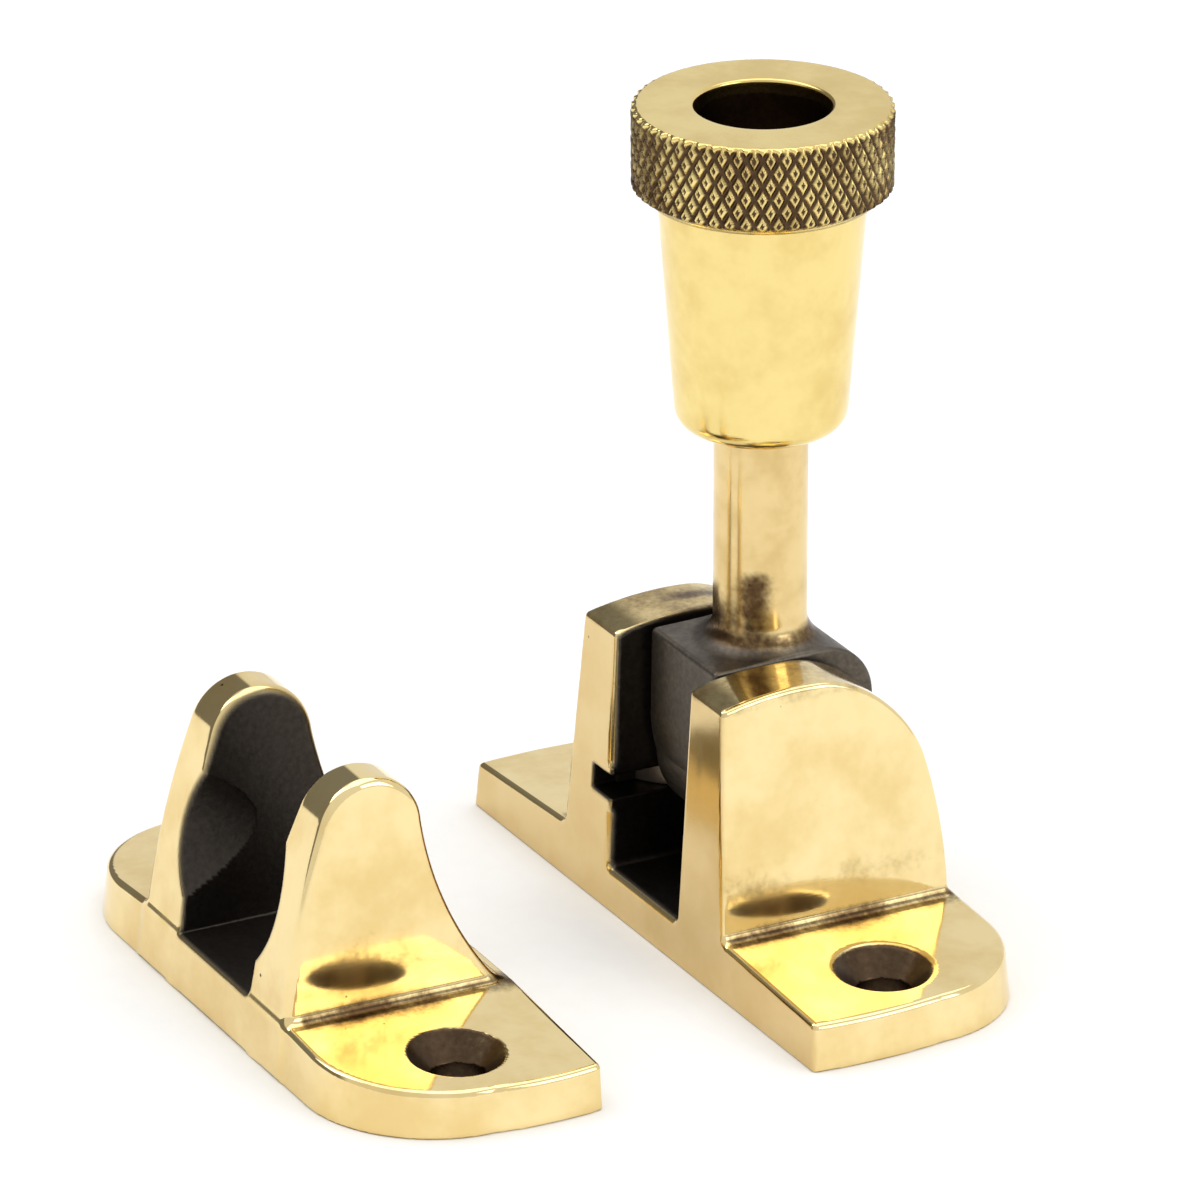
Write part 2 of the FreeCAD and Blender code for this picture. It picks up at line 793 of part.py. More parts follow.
def make_stop_screw():
    """The slotted screw in the stem's end, whose head keeps the nut from coming off."""
    body = new_body("stop_screw")
    under_head = size("stem_top")
    head_top = under_head + size("stop_screw_head_height")
    head_radius = size("stop_screw_head_radius")
    chamfer = size("stop_screw_head_chamfer")
    tip = under_head - size("stop_screw_length") + size("stop_screw_tip_gap")
    section = start_sketch(body, "XZ_Plane", "stop_screw_section", -pivot_along)
    outline(
        section,
        [
            Line(0, tip),
            Line(size("stop_screw_radius"), tip),
            Line(size("stop_screw_radius"), under_head),
            Line(head_radius, under_head),
            Line(head_radius, head_top - chamfer),
            Line(head_radius - chamfer, head_top),
            Line(0, head_top),
        ],
    )
    turn(body, section)
    slot = start_sketch(body, "XZ_Plane", "stop_screw_slot", -pivot_along)
    half_slot = size("stop_screw_slot_width") / 2
    slot_floor = head_top - size("stop_screw_slot_depth")
    outline(
        slot,
        [
            Line(half_slot, slot_floor),
            Line(half_slot, head_top + CLEAR),
            Line(-half_slot, head_top + CLEAR),
            Line(-half_slot, slot_floor),
        ],
    )
    raise_or_cut(body, "Pocket", slot)
    return body


def main():
    bodies = [
        make_fastener_base(),
        make_pivot_pin(),
        make_leaf_spring(),
        make_swing_arm(),
        make_thumb_nut(),
        make_stop_washer(),
        make_stop_screw(),
        make_keeper(),
    ]
    keeper = bodies[-1]
    bind(keeper, "Placement.Base.x", size("keeper_offset_across"))
    bind(keeper, "Placement.Base.y", size("keeper_offset_along") + base_front)
    keeper.Placement.Rotation = FreeCAD.Rotation(FreeCAD.Vector(0, 0, 1), 1)
    bind(keeper, "Placement.Rotation.Angle", size("keeper_turn"))
    doc.recompute()

    for item in doc.Objects:
        if "Invalid" in item.State or "Error" in item.State:
            raise ValueError(f"{item.Name} is {item.State}")
    os.makedirs("parts", exist_ok=True)
    for body in bodies:
        shape = body.Shape
        if shape.isNull() or not shape.isValid() or len(shape.Solids) != 1:
            raise ValueError(f"{body.Label} is not one valid solid")
        shape.exportStep(f"parts/{body.Label}.step")
        print(body.Label, round(shape.Volume, 2), shape.BoundBox)


main()
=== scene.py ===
# %% [markdown]
# # A sash fastener in polished brass
#
# The object is two small brass castings for a sliding sash window. The larger one holds a
# swinging arm with a knurled thumb nut, the smaller one is the forked keeper that the nut is
# screwed down on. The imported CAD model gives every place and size. This lesson adds what a CAD
# model leaves out: edges softened by polishing, a real knurl, and brass that has tarnished where
# a polishing wheel doesn't reach.

# %% Load the frame
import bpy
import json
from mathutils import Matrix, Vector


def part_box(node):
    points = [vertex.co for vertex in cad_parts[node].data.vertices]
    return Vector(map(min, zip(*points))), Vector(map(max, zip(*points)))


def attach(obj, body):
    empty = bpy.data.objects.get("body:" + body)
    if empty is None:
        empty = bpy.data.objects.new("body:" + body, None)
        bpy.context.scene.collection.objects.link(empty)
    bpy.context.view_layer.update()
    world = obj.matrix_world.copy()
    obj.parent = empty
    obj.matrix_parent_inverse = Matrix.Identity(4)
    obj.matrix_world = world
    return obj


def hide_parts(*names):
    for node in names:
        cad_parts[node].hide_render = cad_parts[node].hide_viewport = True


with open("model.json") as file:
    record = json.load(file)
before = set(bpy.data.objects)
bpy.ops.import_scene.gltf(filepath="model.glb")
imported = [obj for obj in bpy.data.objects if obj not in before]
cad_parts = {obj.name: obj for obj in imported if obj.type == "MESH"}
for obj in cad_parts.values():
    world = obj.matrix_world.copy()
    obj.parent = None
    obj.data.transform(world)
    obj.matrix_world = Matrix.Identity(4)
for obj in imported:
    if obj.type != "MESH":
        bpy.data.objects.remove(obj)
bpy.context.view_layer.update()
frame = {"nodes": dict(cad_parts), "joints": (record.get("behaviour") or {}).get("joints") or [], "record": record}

# %% Imports and units
import json
import math

import bmesh
import bpy
import numpy as np
from mathutils import Vector

MM = 0.001
TURN = 2 * math.pi
scene = bpy.context.scene

# %% [markdown]
# ## Landmarks
#
# Everything below is placed from a few landmarks of the CAD model: the boxes of its nodes, the
# swing joint's axis and the screw holes that the record lists as mounts. The keeper lies slightly
# askew on the table, so it gets a frame of its own, worked out from its two screw holes.

# %% Landmarks of the fastener and the keeper
joints = {joint["name"]: joint for joint in frame["joints"]}
mounts = {mount["name"]: mount for mount in frame["record"]["mounts"]}
pivot = np.array(joints["arm_swing"]["pos_m"])
nut_low, nut_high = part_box("thumb_nut")
hole_reach = mounts["fastener_screws"]["dims"]["spacing_x_mm"] * MM / 2
left_hole = np.array(mounts["keeper_left_screw"]["pos_m"])
right_hole = np.array(mounts["keeper_right_screw"]["pos_m"])
keeper_across = (right_hole - left_hole) / np.linalg.norm(right_hole - left_hole)
keeper_along = np.array([-keeper_across[1], keeper_across[0], 0.0])
keeper_middle = (left_hole + right_hole) / 2
PIVOT_ALONG, PIVOT_UP = pivot[1:] / MM
HOLE_REACH = hole_reach / MM
print("pivot", pivot, "keeper middle", keeper_middle)


def in_keeper(points):
    """Row points as (across, along, up) from the middle of the keeper's two holes."""
    away = points - keeper_middle
    return np.stack([away @ keeper_across, away @ keeper_along, points[:, 2]], axis=1)


# %% [markdown]
# ## Small helpers
#
# A material is a graph of nodes, and one function is enough to write it: it makes a node, sets
# its fields and plugs in its inputs, each of which is either a plain value or another node's
# output. Colours are written as the hex values a designer would pick on screen, and one function
# turns them into the linear values that the renderer counts in.

# %% Colour and node helpers
def linear(hex_code):
    """An sRGB hex colour as linear RGBA."""
    channels = [int(hex_code[i : i + 2], 16) / 255 for i in (1, 3, 5)]
    bright = [c / 12.92 if c <= 0.04045 else ((c + 0.055) / 1.055) ** 2.4 for c in channels]
    return (*bright, 1.0)


def add(tree, kind, inputs=None, **fields):
    """Adds a node, sets its fields and fills its inputs with values or other nodes' outputs."""
    node = tree.nodes.new(kind)
    for name, value in fields.items():
        setattr(node, name, value)
    for key, value in (inputs or {}).items():
        if isinstance(value, bpy.types.NodeSocket):
            tree.links.new(value, node.inputs[key])
        else:
            node.inputs[key].default_value = value
    return node


def new_material(name):
    """An empty node material with a Principled shader on its output."""
    material = bpy.data.materials.new(name)
    material.use_nodes = True
    tree = material.node_tree
    tree.nodes.clear()
    shader = add(tree, "ShaderNodeBsdfPrincipled")
    add(tree, "ShaderNodeOutputMaterial", {"Surface": shader.outputs["BSDF"]})
    return material, tree, shader


def mix_colours(tree, share, first, second):
    """The colour that lies a share of the way from first to second."""
    keys = {"Factor": share, "A": first, "B": second}
    node = add(tree, "ShaderNodeMix", data_type="RGBA")
    for key, value in keys.items():
        socket = [s for s in node.inputs if s.name == key and s.enabled][0]
        if isinstance(value, bpy.types.NodeSocket):
            tree.links.new(value, socket)
        else:
            socket.default_value = value
    return [s for s in node.outputs if s.enabled][0]


def arithmetic(tree, operation, first, second, clamp=False):
    """One sum on two numbers or sockets."""
    node = add(tree, "ShaderNodeMath", {0: first, 1: second}, operation=operation, use_clamp=clamp)
    return node.outputs[0]


def ramp(tree, value, low, high, out_low=0.0, out_high=1.0):
    """A smooth step of value from out_low at low to out_high at high."""
    inputs = {"Value": value, "From Min": low, "From Max": high, "To Min": out_low, "To Max": out_high}
    return add(tree, "ShaderNodeMapRange", inputs, interpolation_type="SMOOTHSTEP").outputs[0]


def blotches(tree, place, size, detail=2.0, roughness=0.5):
    """Noise whose blotches are about size metres across."""
    inputs = {"Vector": place, "Scale": 1 / size, "Detail": detail, "Roughness": roughness}
    return add(tree, "ShaderNodeTexNoise", inputs).outputs[0]


# %% [markdown]
# ## Aged brass
#
# Brass is copper and zinc. Polished, it mirrors the room in pale gold. Where the wheel doesn't
# reach it keeps a brown skin of oxide, thickest in corners, and the walls between the cheeks were
# never polished at all, so they are almost black and dull. Each piece carries three numbers at
# every vertex: "patina" for the brown skin in the creases and for painted dark
# reflections and shade, "unpolished" for the black walls and "satin" for a face that was brushed
# but not buffed. One graph turns them into colour and roughness, and breaks the patina and the
# painted shade up with soft blotches a few millimetres across, as a real finish does.

# %% The brass material
def brass(name, polished, tarnished, dark, polish_roughness, dark_roughness, blotch_size, tool_marks=0.0):
    """Brass whose finish follows the patina, unpolished and satin attributes of the mesh."""
    material, tree, shader = new_material(name)
    place = add(tree, "ShaderNodeTexCoord").outputs["Object"]
    patina = add(tree, "ShaderNodeAttribute", attribute_name="patina").outputs["Fac"]
    unpolished = add(tree, "ShaderNodeAttribute", attribute_name="unpolished").outputs["Fac"]
    clouds = blotches(tree, place, blotch_size, detail=4.0, roughness=0.6)
    specks = blotches(tree, place, 0.5 * MM, detail=4.0, roughness=0.6)
    # Oxide and painted shade are the vertex value, pushed up and down by the blotches where it is neither 0 nor 1.
    wobble = arithmetic(tree, "SUBTRACT", clouds, 0.5)
    fleck = arithmetic(tree, "MULTIPLY", arithmetic(tree, "SUBTRACT", specks, 0.5), 0.35)
    pushed = arithmetic(tree, "ADD", patina, arithmetic(tree, "ADD", wobble, fleck))
    oxide_and_shade = ramp(tree, pushed, 0.25, 0.85)
    warmth = ramp(tree, clouds, 0.35, 0.7)
    buffed = mix_colours(tree, warmth, linear(polished), linear(tarnished))
    satin = add(tree, "ShaderNodeAttribute", attribute_name="satin").outputs["Fac"]
    clean = mix_colours(tree, satin, buffed, linear("#cdae76"))
    brown = mix_colours(tree, specks, linear("#6d5537"), linear("#3f2c20"))
    skin_and_shade = mix_colours(tree, oxide_and_shade, clean, brown)
    black = mix_colours(tree, specks, linear(dark[0]), linear(dark[1]))
    # A casting keeps a few pinholes, about 0.2 mm wide and some 5 mm apart, filled with polish.
    cells = {"Vector": place, "Scale": 1 / (5 * MM)}
    pinhole = add(tree, "ShaderNodeTexVoronoi", cells).outputs["Distance"]
    pocked = mix_colours(tree, ramp(tree, pinhole, 0.035, 0.02), skin_and_shade, linear("#4a3826"))
    tree.links.new(mix_colours(tree, unpolished, pocked, black), shader.inputs["Base Color"])
    dull = arithmetic(tree, "MULTIPLY", arithmetic(tree, "ADD", oxide_and_shade, satin), 0.10)
    shine = arithmetic(tree, "ADD", ramp(tree, clouds, 0.3, 0.8, 0.0, 0.07), polish_roughness)
    rougher = arithmetic(tree, "MULTIPLY", unpolished, dark_roughness)
    total = arithmetic(tree, "ADD", arithmetic(tree, "ADD", shine, dull), rougher, clamp=True)
    tree.links.new(total, shader.inputs["Roughness"])
    # The wheel leaves a face very slightly wavy, with hairline scratches along its stroke, and the
    # oxide is finely pitted. The scratches are 0.12 mm apart, coarser than real ones, to show.
    waves = blotches(tree, place, 5 * MM, detail=1.0)
    along_stroke = {"Vector": place, "Rotation": (0.3, 0.2, 0.4), "Scale": (1, 0.06, 1)}
    stroke = add(tree, "ShaderNodeMapping", along_stroke)
    scratches = blotches(tree, stroke.outputs[0], 0.12 * MM, detail=2.0)
    pits = arithmetic(tree, "MULTIPLY", specks, arithmetic(tree, "ADD", unpolished, 0.08))
    normal = None
    layers = [(waves, 0.25, 0.08 * MM), (scratches, 0.12, 0.006 * MM), (pits, 0.5, 0.03 * MM)]
    if tool_marks:
        rings = {"Vector": place, "Scale": 1 / tool_marks, "Distortion": 0.4, "Detail": 2.0}
        cut = add(tree, "ShaderNodeTexWave", rings, bands_direction="Z").outputs[1]
        layers.append((cut, 0.10, 0.008 * MM))
    for height, strength, depth in layers:
        inputs = {"Height": height, "Strength": strength, "Distance": depth}
        if normal:
            inputs["Normal"] = normal
        normal = add(tree, "ShaderNodeBump", inputs).outputs[0]
    tree.links.new(normal, shader.inputs["Normal"])
    shader.inputs["Metallic"].default_value = 1.0
    return material


BLACKENED = ("#4e4842", "#2c2824")
BROWNED = ("#756f67", "#443f39")
# Buffed sand-cast brass: pale gold mirrors with slightly wavy edges, brown in the creases.
cast_brass = brass("polished_cast_brass", "#f5dfa6", "#e7cb8b", BLACKENED, 0.06, 0.3, 7 * MM)
# The arm was polished less: a browner and softer gleam.
arm_brass = brass("polished_arm_brass", "#edd49a", "#d2b679", BROWNED, 0.11, 0.2, 5 * MM)
# Turned brass keeps the lathe's fine rings, which spread its highlights into satin bands.
turned_brass = brass("turned_satin_brass", "#f0d990", "#e2c67c", BLACKENED, 0.13, 0.3, 6 * MM, 0.35 * MM)
print("materials", [material.name for material in bpy.data.materials])


# %% [markdown]
# ## Castings as formulas
#
# A sand casting that has been linished and buffed has no sharp edge anywhere: every corner is
# rounded by a few tenths of a millimetre, and the rounding is what catches the light. Bevelling
# such edges by hand is fussy where curved faces meet. Here each casting is one formula instead,
# a signed distance: how far a point lies outside the metal, below zero inside it. Plain faces and
# arcs are combined by two sums that also round the corner between them, one for outside corners
# and one for inside ones.

# %% Sums for signed distances
def corner(radius, *distances):
    """Where all the shapes overlap, with outside corners of a radius: the length of the parts of
    the distances above -radius, set back by the radius."""
    stack = np.stack(np.broadcast_arrays(*distances))
    beyond = np.sqrt((np.maximum(stack + radius, 0) ** 2).sum(axis=0))
    return np.minimum(stack.max(axis=0), -radius) + beyond


def fillet(radius, *distances):
    """The shapes joined, with inside corners of a radius: the corner sum turned inside out."""
    return -corner(radius, *[-distance for distance in distances])


def bow(across, up, first, last, radius):
    """Distance outside the disc of a radius whose edge runs clockwise from first to last."""
    first, last = np.array(first), np.array(last)
    chord = last - first
    length = np.linalg.norm(chord)
    inwards = np.array([chord[1], -chord[0]]) / length
    centre = (first + last) / 2 + inwards * math.sqrt(radius**2 - (length / 2) ** 2)
    return np.hypot(across - centre[0], up - centre[1]) - radius


def lean(degrees):
    """Sideways travel for each millimetre of height."""
    return math.tan(math.radians(degrees))


def upright(degrees):
    """What scales the sideways distance to a leaning face to the distance square to it."""
    return math.cos(math.radians(degrees))


def step(values, start, end):
    """A smooth step from 0 at start to 1 at end."""
    share = np.clip((values - start) / (end - start), 0, 1)
    return share * share * (3 - 2 * share)


# %% [markdown]
# Both castings share a plate: straight along one edge, with bowed ends, two generous round
# corners, sides that lean out a little towards the table and a top that thins towards the ends.
# Both have two countersunk holes. All these lengths are in millimetres.

# %% The plate and its screw holes
HALF_LENGTH = 27.9
PLATE_DRAFT = 6.0
HOLE_RADIUS = 2.2
SINK_RADIUS = 4.4
SINK_FROM = 2.3
SINK_RISE = 2.3
SINK_SPREAD = 2.1


def plate(x, y, z, depth, corner_radius, end_bow, edge_height, middle_height, foot):
    """Distance outside a plate whose straight edge lies at y = 0 and whose far edge at y = depth.
    The ends are a disc of the bow's radius, and draft widens the plan below the top face."""
    chord = depth - corner_radius
    end_radius = chord**2 / (8 * end_bow) + end_bow / 2
    bowed = bow(np.abs(x), y, (HALF_LENGTH, chord), (HALF_LENGTH, 0.0), end_radius)
    end = np.where(y < chord, bowed, np.abs(x) - HALF_LENGTH)
    plan = corner(corner_radius, end, y - depth)
    side = (plan - lean(PLATE_DRAFT) * (middle_height - z)) * upright(PLATE_DRAFT)
    drop = (middle_height - edge_height) / (HALF_LENGTH - foot)
    top = z - middle_height + drop * np.maximum(np.abs(x) - foot, 0)
    return corner(0.45, side, top)


def screw_hole(x, y, z):
    """Distance outside a bore under the cone for a countersunk head, open at the top."""
    from_axis = np.hypot(np.abs(x) - HOLE_REACH, y)
    bore = from_axis - HOLE_RADIUS
    slope = math.atan2(SINK_SPREAD, SINK_RISE)
    cone = (bore - math.tan(slope) * (z - SINK_FROM)) * math.cos(slope)
    return np.minimum(bore, np.maximum(cone, from_axis - SINK_RADIUS))


print("plate", 2 * HALF_LENGTH, "mm long, screw holes", 2 * HOLE_RADIUS, "mm wide")

# %% [markdown]
# The fastener's two cheeks stand on its plate and lean in. A channel for the arm runs between them,
# deeper in front of the pivot than behind it, and the left cheek has a groove for a leaf spring.

# %% The fastener casting as a formula
BASE_MIDDLE = 4.6
CHEEK_FOOT = 13.2
CHEEK_LEAN = 5.36
FRONT_SETBACK = 9.8
FRONT_LEAN = 2.73
CHANNEL_HALF_WIDTH = 5.6
CHANNEL_FRONT_FLOOR = 3.6
CHANNEL_REAR_FLOOR = 6.9
GROOVE_UP = 10.315
GROOVE_HALF_HEIGHT = 0.985
PIN_RADIUS = 1.9


def fastener_channel(x, y, z):
    """Distance outside the channel, the spring's groove and the pin's bore."""
    wall = np.abs(x) - CHANNEL_HALF_WIDTH - lean(1.1) * (z - CHANNEL_FRONT_FLOOR)
    front = corner(0.5, wall, CHANNEL_FRONT_FLOOR - z, y - 1.2)
    rear = corner(0.5, wall, CHANNEL_REAR_FLOOR - z)
    across_groove = np.abs(z - GROOVE_UP) - GROOVE_HALF_HEIGHT
    groove = corner(0.1, across_groove, -8.75 - x, x + 4.6, y - 5.8)
    bore = corner(0.1, np.hypot(y - PIVOT_ALONG, z - PIVOT_UP) - PIN_RADIUS, x - 11.0)
    return np.minimum(np.minimum(front, rear), np.minimum(groove, bore))


def behind_front(y, z):
    """How far a point lies behind the fastener's leaning front face."""
    return y + FRONT_SETBACK - lean(FRONT_LEAN) * z


def fastener_casting(places):
    """Distance in mm outside the fastener's casting, for an N by 3 array in mm."""
    x, y, z = places.T
    flat = plate(x, y + 10.8, z, 22.2, 9.5, 0.5, 3.86, BASE_MIDDLE, CHEEK_FOOT)
    side = (np.abs(x) - CHEEK_FOOT + lean(CHEEK_LEAN) * (z - BASE_MIDDLE)) * upright(CHEEK_LEAN)
    crown = bow(y, z, (-8.69, 23.33), (5.6, 23.14), 28.4)
    back = bow(y, z, (8.5, 18.54), (10.8, 4.6), 42.0)
    cheeks = corner(0.4, side, corner(5.2, crown, back))
    front = -behind_front(y, z) * upright(FRONT_LEAN)
    solid = corner(0.4, fillet(0.7, flat, cheeks), front)
    hollow = np.minimum(fastener_channel(x, y, z), screw_hole(x, y, z))
    # The channel's lip is rounder on the front face and sharper round the groove.
    lip = 0.3 + 0.4 * step(y, -7.0, -9.0) * step(np.abs(x), 12.0, 8.0) * step(x, -9.5, -8.0)
    in_groove = step(np.abs(z - 10.3), 2.2, 1.4) * step(x, -4.0, -5.0)
    return corner(0.15, corner(lip * (1 - 0.75 * in_groove), solid, -hollow), -z)


print("fastener cheeks", 2 * CHEEK_FOOT, "mm across, channel", 2 * CHANNEL_HALF_WIDTH, "mm wide")

# %% [markdown]
# The keeper's fork has a tall crown at the front that sweeps down to the plate in a long hollow
# curve. A slot for the arm runs between its cheeks, and in front the slot opens into a cone, the
# seat that the nut is screwed into.

# %% The keeper casting as a formula
KEEPER_SETBACK = 10.3
KEEPER_DEPTH = 19.6
KEEPER_MIDDLE = 4.63
KEEPER_EDGE = 3.73
FORK_FOOT = 12.84
FORK_LEAN = 3.0
NOSE_FOOT = (0.1, KEEPER_MIDDLE)
CROWN_START = (3.75, 20.33)
CROWN_END = (12.3, 19.74)
CROWN_CENTRE = (7.95, 18.95)
CROWN_RADIUS = 4.42
CROWN_FALL = 0.069
SLOT_HALF_WIDTH = 6.2
SLOT_LEAN = 4.6
SEAT_MOUTH_RADIUS = 8.75
SEAT_END_RADIUS = 6.85
SEAT_MOUTH_LENGTH = 1.0
SEAT_DEPTH = 7.2


def keeper_slot(x, y, z):
    """Distance outside the slot of the fork, and outside the seat's cone about the nut's line."""
    wall = np.abs(x) - SLOT_HALF_WIDTH - lean(SLOT_LEAN) * (z - KEEPER_MIDDLE)
    slot = corner(0.15, wall * upright(SLOT_LEAN), KEEPER_MIDDLE - z)
    narrowing = (SEAT_MOUTH_RADIUS - SEAT_END_RADIUS) / (SEAT_DEPTH - SEAT_MOUTH_LENGTH)
    beyond_mouth = np.maximum(y - SEAT_MOUTH_LENGTH, 0)
    seat = np.hypot(x, z - PIVOT_UP) - SEAT_MOUTH_RADIUS + narrowing * beyond_mouth
    return slot, corner(0.15, seat, y - SEAT_DEPTH)


def keeper_casting(places):
    """Distance in mm outside the keeper's casting, in its own frame, for an N by 3 array."""
    x, y, z = places.T
    from_straight = KEEPER_DEPTH - y
    flat = plate(
        x, from_straight, z, KEEPER_DEPTH, 10.5, 0.4, KEEPER_EDGE, KEEPER_MIDDLE, FORK_FOOT
    )
    side = (np.abs(x) - FORK_FOOT + lean(FORK_LEAN) * (z - KEEPER_MIDDLE)) * upright(FORK_LEAN)
    nose = bow(y, z, NOSE_FOOT, CROWN_START, 70.0)
    sweep = -bow(y, z, (19.3, KEEPER_EDGE), CROWN_END, 28.6)
    crown = np.hypot(y - CROWN_CENTRE[0], z - CROWN_CENTRE[1]) - CROWN_RADIUS
    under_crown = z - CROWN_START[1] + CROWN_FALL * (y - CROWN_START[0])
    profile = np.minimum(crown, np.maximum(np.maximum(nose, sweep), under_crown))
    fork = corner(0.7, side, profile)
    solid = corner(0.4, fillet(0.7, flat, fork), y - KEEPER_DEPTH)
    slot, seat = keeper_slot(x, y, z)
    hollow = np.minimum(slot, seat)
    # Polishing has rounded the slot's edges more towards the crown.
    solid = corner(0.35 + 0.45 * step(z, 15.0, 21.0), solid, -hollow)
    solid = corner(0.12, solid, -screw_hole(x, y - KEEPER_SETBACK, z))
    return corner(0.15, solid, -z)


print("keeper fork", 2 * FORK_FOOT, "mm across, seat", SEAT_MOUTH_RADIUS, "mm in radius at its mouth")

# %% [markdown]
# The arm is a block as wide as the channel, rounded underneath where it swings past the floor. A
# round shank rises from it through a generous fillet, and a thinner stem inside the nut carries
# the thread.

# %% The swing arm as a formula
BLOCK_HALF_WIDTH = CHANNEL_HALF_WIDTH - 0.3
BLOCK_TOP = 23.95
BLOCK_BOTTOM = 6.95
CHIN_TOP = 16.4
ARM_BORE = PIN_RADIUS + 0.05
SHANK_RADIUS = 3.72
STEM_RADIUS = 3.0
TAPPED_RADIUS = 1.5
SHOULDER = 44.6
STEM_TOP = 61.8


def swing_arm(places):
    """Distance in mm outside the arm, for an N by 3 array in mm."""
    x, y, z = places.T
    from_pivot = np.hypot(y - PIVOT_ALONG, z - PIVOT_UP)
    round_heel = np.hypot(y - PIVOT_ALONG, z - 12.9) - 7.9
    heel = corner(0.2, round_heel, BLOCK_BOTTOM - z, PIVOT_ALONG - y)
    below = np.where(y < PIVOT_ALONG, from_pivot - 6.5, heel)
    chin = bow(y, z, (-5.6, 13.3), (-6.1, CHIN_TOP), 12.0)
    front = np.where(z < CHIN_TOP, chin, -6.1 + 0.0133 * (z - CHIN_TOP) - y)
    top = z - BLOCK_TOP + 0.019 * (4.5 - y)
    back = y - 8.8 + 0.087 * (z - 12.9)
    above = corner(0.45, front, corner(4.2, top, back))
    profile = np.where(z < 13.3, below, above)
    block = corner(0.3, np.abs(x) - BLOCK_HALF_WIDTH, profile)
    block = corner(0.1, block, ARM_BORE - from_pivot)
    from_axis = np.hypot(x, y - PIVOT_ALONG)
    shank = corner(0.35, from_axis - SHANK_RADIUS, z - SHOULDER, 12.0 - z)
    shank = corner(0.1, shank, ARM_BORE - from_pivot)
    stem = corner(0.3, from_axis - STEM_RADIUS, z - STEM_TOP, SHOULDER - 2 - z)
    tapped = corner(0.05, from_axis - TAPPED_RADIUS, STEM_TOP - 7.0 - z)
    return corner(0.1, fillet(1.9, block, np.minimum(shank, stem)), -tapped)


print("arm block", 2 * BLOCK_HALF_WIDTH, "mm wide, shank", 2 * SHANK_RADIUS, "mm thick")

# %% [markdown]
# ## From formula to mesh
#
# A formula says where the surface is, but not which points to join. Those come from the packed
# CAD mesh: a copy of it goes through a voxel remesh, which gives an even skin of
# quarter-millimetre squares. Every vertex then walks down the slope of the formula until its
# distance is zero. Between walks the vertices are averaged with their neighbours, which keeps the
# squares even. The slope at the end is the exact normal, so reflections run clean over the edges.

# %% Casting a skin onto a formula
VOXEL = 0.25 * MM


def vertex_places(mesh):
    """The vertices of a mesh as an N by 3 array."""
    flat = np.empty(len(mesh.vertices) * 3)
    mesh.vertices.foreach_get("co", flat)
    return flat.reshape(-1, 3)


def slope_of(distance, places, reach=0.02):
    """The distance's gradient by central differences, reach millimetres to either side."""
    sides = [distance(places + axis) - distance(places - axis) for axis in np.eye(3) * reach]
    return np.stack(sides, axis=1) / (2 * reach)


def settle(distance, places, steps):
    """Newton's method: each step moves a point by distance / slope along the slope."""
    for _ in range(steps):
        slope = slope_of(distance, places)
        square = np.maximum((slope**2).sum(axis=1), 0.25)
        walk = (distance(places) / square)[:, None] * slope
        places = places - np.clip(walk, -0.3, 0.3)
    return places


def averaged(places, edges):
    """Each vertex halfway to the mean of its neighbours, summed over the mesh's edges."""
    ends = np.concatenate([edges, edges[:, ::-1]])
    here, there = ends.T
    totals = [np.bincount(here, places[there, axis], len(places)) for axis in range(3)]
    count = np.bincount(here, minlength=len(places))[:, None]
    return 0.5 * places + 0.5 * np.stack(totals, axis=1) / count


def cast(node, name, distance, to_local=None, to_row=None):
    """A new piece on a CAD node's place whose vertices all lie on a signed distance's surface."""
    work = bmesh.new()
    work.from_mesh(frame["nodes"][node].data)
    bmesh.ops.remove_doubles(work, verts=work.verts, dist=0.001 * MM)
    rough = bpy.data.meshes.new(name + "_rough")
    work.to_mesh(rough)
    work.free()
    piece = bpy.data.objects.new(name, rough)
    scene.collection.objects.link(piece)
    remesh = piece.modifiers.new("even skin", "REMESH")
    remesh.mode = "VOXEL"
    remesh.voxel_size = VOXEL
    bpy.context.view_layer.update()
    finished = piece.evaluated_get(bpy.context.evaluated_depsgraph_get())
    skin = bpy.data.meshes.new_from_object(finished)
    piece.modifiers.clear()
    piece.data = skin
    bpy.data.meshes.remove(rough)
    places = vertex_places(skin)
    places = places / MM if to_local is None else to_local(places)
    edges = np.empty(len(skin.edges) * 2, dtype=np.int32)
    skin.edges.foreach_get("vertices", edges)
    edges = edges.reshape(-1, 2)
    for _ in range(6):
        places = settle(distance, averaged(places, edges), 2)
    places = settle(distance, places, 3)
    slope = slope_of(distance, places)
    normals = slope / np.linalg.norm(slope, axis=1)[:, None]
    ends = places + normals
    row = places * MM if to_row is None else to_row(places)
    row_ends = ends * MM if to_row is None else to_row(ends)
    skin.vertices.foreach_set("co", row.astype(np.float32).ravel())
    skin.update()
    skin.materials.clear()
    skin.shade_smooth()
    skin.normals_split_custom_set_from_vertices(((row_ends - row) / MM).tolist())
    furthest = float(np.abs(distance(places)).max())
    print(name, len(skin.polygons), "faces, furthest off", round(furthest, 4), "mm")
    return piece, places


def set_finish(piece, **shares):
    """Stores how far each vertex of a piece has each finish, from 0 to 1."""
    for name, values in shares.items():
        attribute = piece.data.attributes.new(name, "FLOAT", "POINT")
        attribute.data.foreach_set("value", np.clip(values, 0, 1).astype(np.float32))


def finish_piece(piece, material, node, body):
    """Gives a piece its material, hides the CAD node it replaces and attaches the piece to the body that moves it.
    """
    piece.data.materials.append(material)
    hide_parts(node)
    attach(piece, body)


